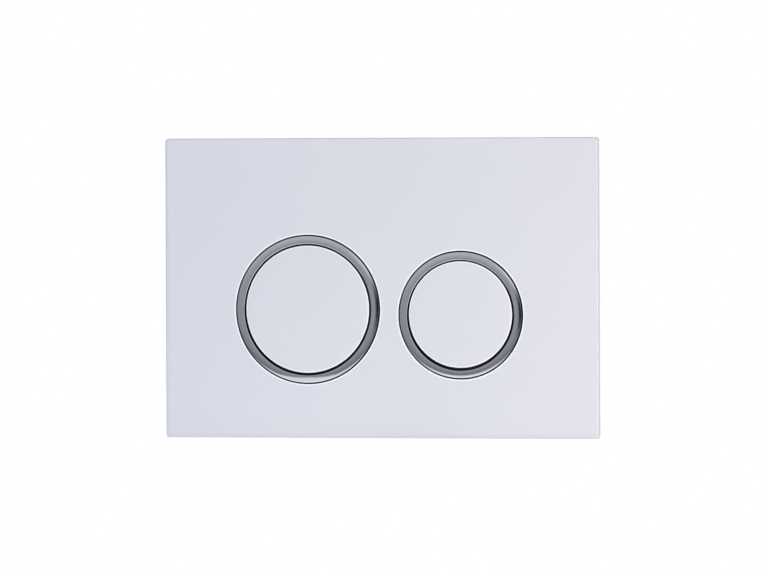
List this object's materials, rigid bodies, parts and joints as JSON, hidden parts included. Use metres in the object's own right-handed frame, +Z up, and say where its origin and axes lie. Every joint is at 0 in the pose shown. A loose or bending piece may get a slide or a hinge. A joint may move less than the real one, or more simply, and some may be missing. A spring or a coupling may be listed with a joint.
{
  "type": "flush button plate",
  "caption": "Flat wall plate with round full-flush and half-flush push buttons in chromed rings, on a screwed-in mounting frame with spring-returned push rods.",
  "frame": {"origin": "centre of the plate on the wall's surface, in the plane of the cover plate's rear rim", "axes": "+X to the right seen from the room, +Y into the wall, +Z up"},
  "size_m": [0.2118, 0.0746, 0.142],
  "materials": {
    "white_plate": "satin white moulded plastic",
    "white_disc": "satin white moulded plastic",
    "chromed_ring": "bright chromed plastic",
    "plunger_plastic": "dark grey moulded plastic",
    "carrier_plastic": "grey moulded plastic",
    "frame_plastic": "black moulded plastic",
    "spring_steel": "drawn steel wire",
    "rod_nylon": "natural nylon",
    "pad_rubber": "soft black rubber",
    "zinc_steel": "zinc-plated steel"
  },
  "bodies": {
    "plate": {"cover_plate": "white_plate", "rear_carrier": "carrier_plastic", "carrier_screws": "zinc_steel", "stop_pads": "pad_rubber", "mounting_frame": "frame_plastic", "left_distance_bolt": "zinc_steel", "right_distance_bolt": "zinc_steel", "left_bolt_washer": "zinc_steel", "right_bolt_washer": "zinc_steel", "left_bolt_nut": "zinc_steel", "right_bolt_nut": "zinc_steel", "full_flush_spring": "spring_steel", "half_flush_spring": "spring_steel"},
    "full_flush_button": {"full_flush_disc": "white_disc", "full_flush_ring": "chromed_ring", "full_flush_plunger": "plunger_plastic", "full_flush_push_rod": "rod_nylon", "full_flush_lock_nut": "rod_nylon"},
    "half_flush_button": {"half_flush_disc": "white_disc", "half_flush_ring": "chromed_ring", "half_flush_plunger": "plunger_plastic", "half_flush_push_rod": "rod_nylon", "half_flush_lock_nut": "rod_nylon"}
  },
  "joints": [
    {"name": "full_flush_press", "type": "slide", "parent": "plate", "child": "full_flush_button", "axis": [0, 1, 0], "range_m": [0, 0.005], "stiffness_N_per_m": 600, "springref_m": -0.004, "deforming": ["full_flush_spring"]},
    {"name": "half_flush_press", "type": "slide", "parent": "plate", "child": "half_flush_button", "axis": [0, 1, 0], "range_m": [0, 0.005], "stiffness_N_per_m": 600, "springref_m": -0.004, "deforming": ["half_flush_spring"]}
  ]
}
